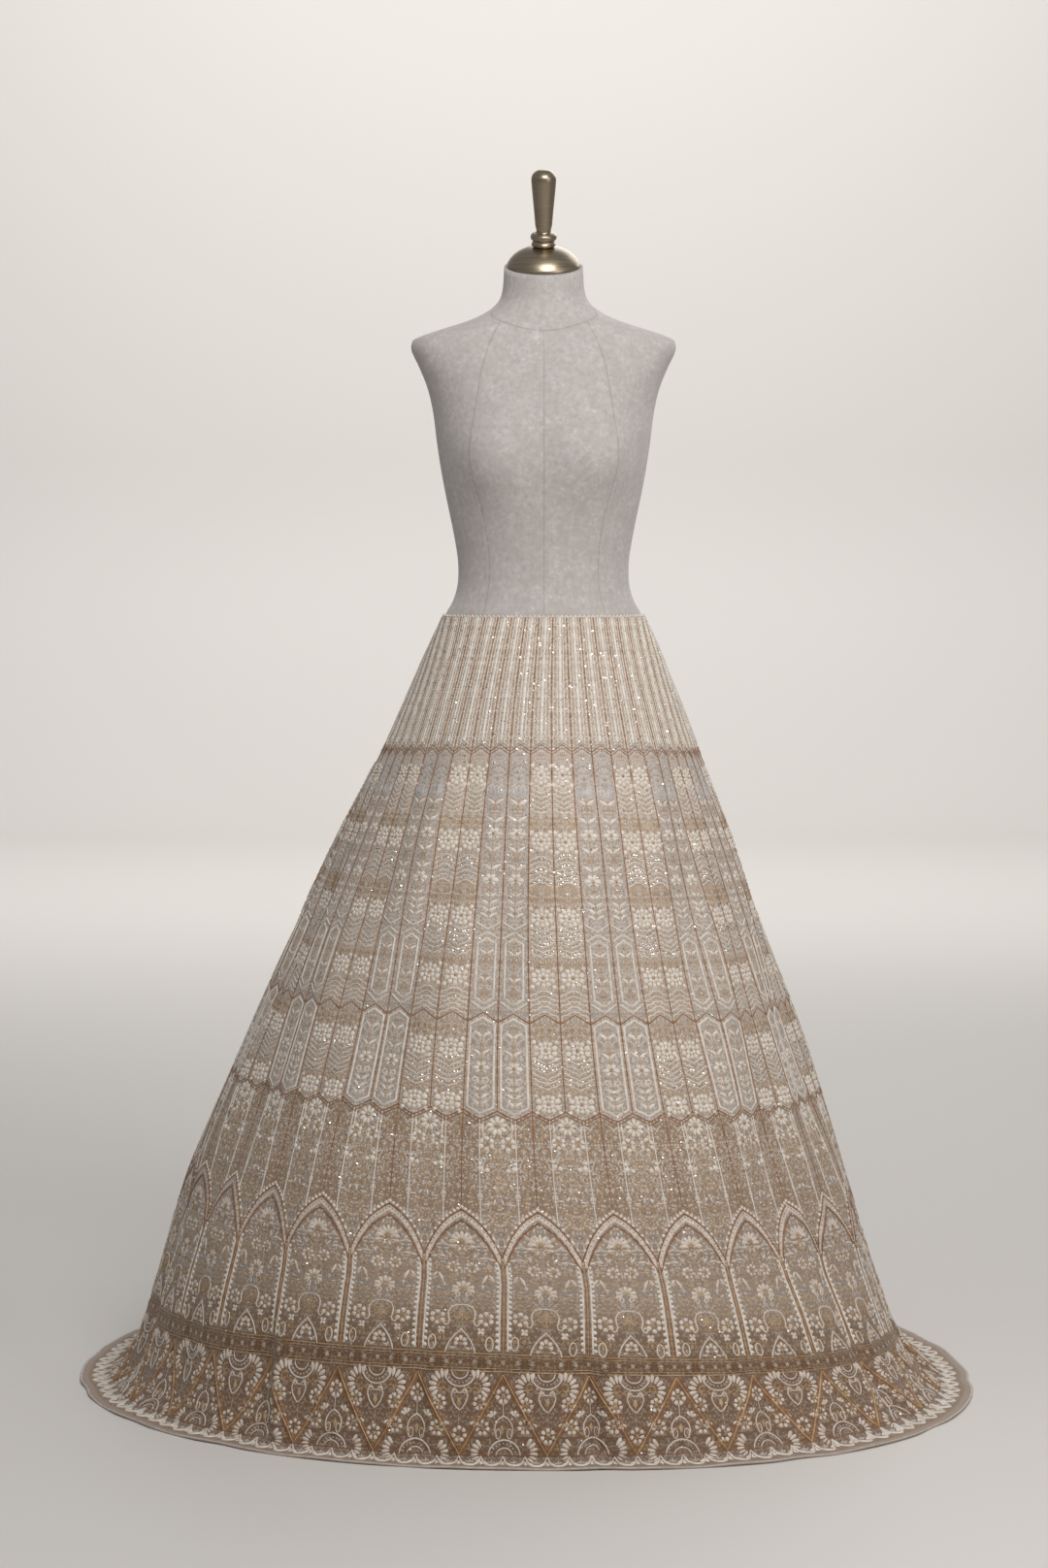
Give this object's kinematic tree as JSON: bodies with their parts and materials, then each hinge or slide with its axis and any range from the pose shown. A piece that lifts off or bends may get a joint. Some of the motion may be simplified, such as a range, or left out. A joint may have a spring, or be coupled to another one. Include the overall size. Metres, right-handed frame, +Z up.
{
  "type": "lehenga skirt on a dress form",
  "caption": "Floor-length flared lehenga skirt of embroidered net, worn on a limbless dress form with a turned metal neck cap and a stand that the skirt hides.",
  "frame": {"origin": "on the floor, under the middle of the stand's base, on the form's upright axis", "axes": "+Z up along the form's axis; the front of the skirt faces -Y; +X is to the right of one who looks at the front"},
  "size_m": [1.2699, 1.1938, 1.7089],
  "materials": {
    "embroidered_net": "beige-grey net over lining, closely embroidered in cream, beige and brown thread",
    "waist_cord": "cream cotton cord in small picots",
    "form_cover": "heathered grey-cream jersey, drawn tight",
    "cap_metal": "satin champagne lacquer on spun metal",
    "pole_steel": "drawn tube, satin",
    "base_iron": "black enamel"
  },
  "bodies": {
    "root": {"kali_01": "embroidered_net", "kali_02": "embroidered_net", "kali_03": "embroidered_net", "kali_04": "embroidered_net", "kali_05": "embroidered_net", "kali_06": "embroidered_net", "kali_07": "embroidered_net", "kali_08": "embroidered_net", "kali_09": "embroidered_net", "kali_10": "embroidered_net", "kali_11": "embroidered_net", "kali_12": "embroidered_net", "kali_13": "embroidered_net", "kali_14": "embroidered_net", "kali_15": "embroidered_net", "waist_binding": "waist_cord", "form_torso": "form_cover", "form_neck_cap": "cap_metal", "form_finial": "cap_metal", "stand_pole": "pole_steel", "stand_base": "base_iron"}
  },
  "joints": []
}
